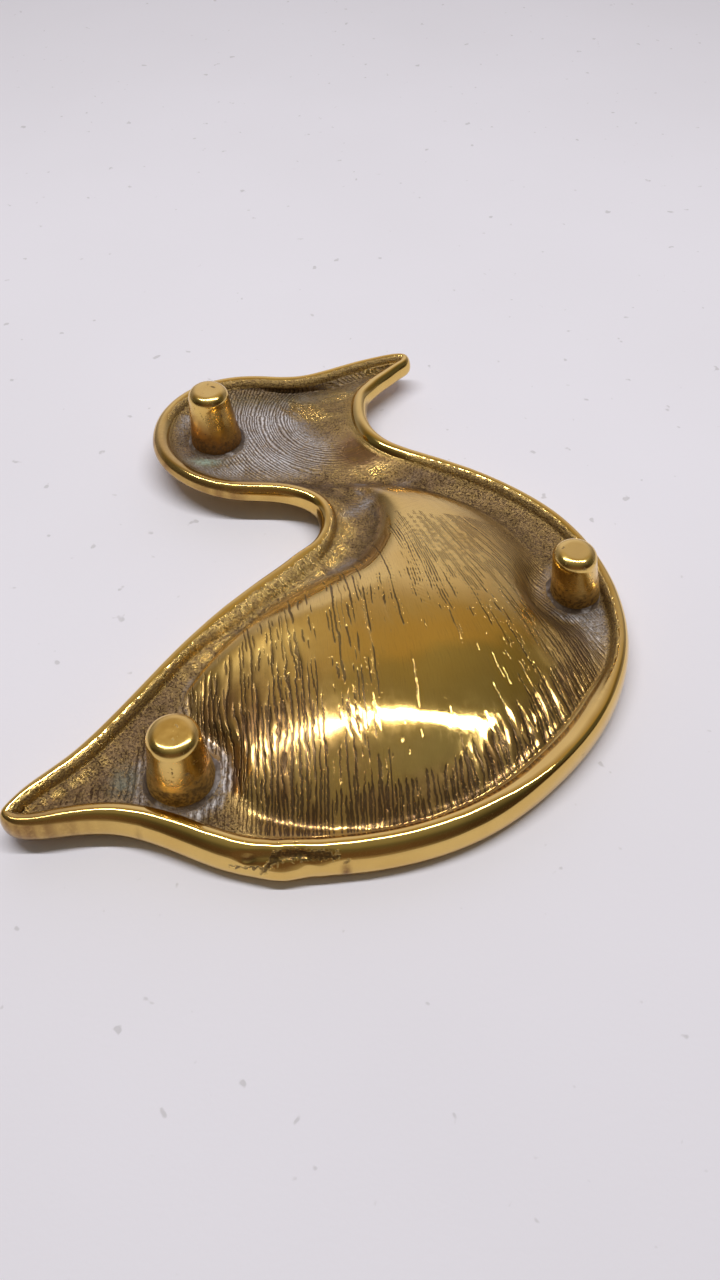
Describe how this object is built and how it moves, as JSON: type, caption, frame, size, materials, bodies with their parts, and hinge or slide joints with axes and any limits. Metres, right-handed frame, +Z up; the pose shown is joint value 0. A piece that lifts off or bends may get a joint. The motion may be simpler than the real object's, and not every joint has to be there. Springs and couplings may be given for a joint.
{
  "type": "trinket dish",
  "caption": "Duck-shaped cast metal trinket dish with a bowl in the body and a rounded rim, standing on short peg feet; shown face down.",
  "frame": {"origin": "middle of the plan, on the surface the dish lies on, with the dish face down and its feet up", "axes": "+Y from the belly towards the head, +X towards the breast, +Z up through the feet; half a turn about Y stands the dish on its feet"},
  "size_m": [0.1266, 0.1506, 0.021],
  "materials": {
    "cast_brass": "polished rim, combed and darkened underside",
    "peg_brass": "polished",
    "braze_filler": "dull, with pale residue"
  },
  "bodies": {
    "root": {"dish_casting": "cast_brass", "foot_tail": "peg_brass", "foot_breast": "peg_brass", "foot_head": "peg_brass", "braze_ring_tail": "braze_filler", "braze_ring_breast": "braze_filler", "braze_ring_head": "braze_filler"}
  },
  "joints": []
}
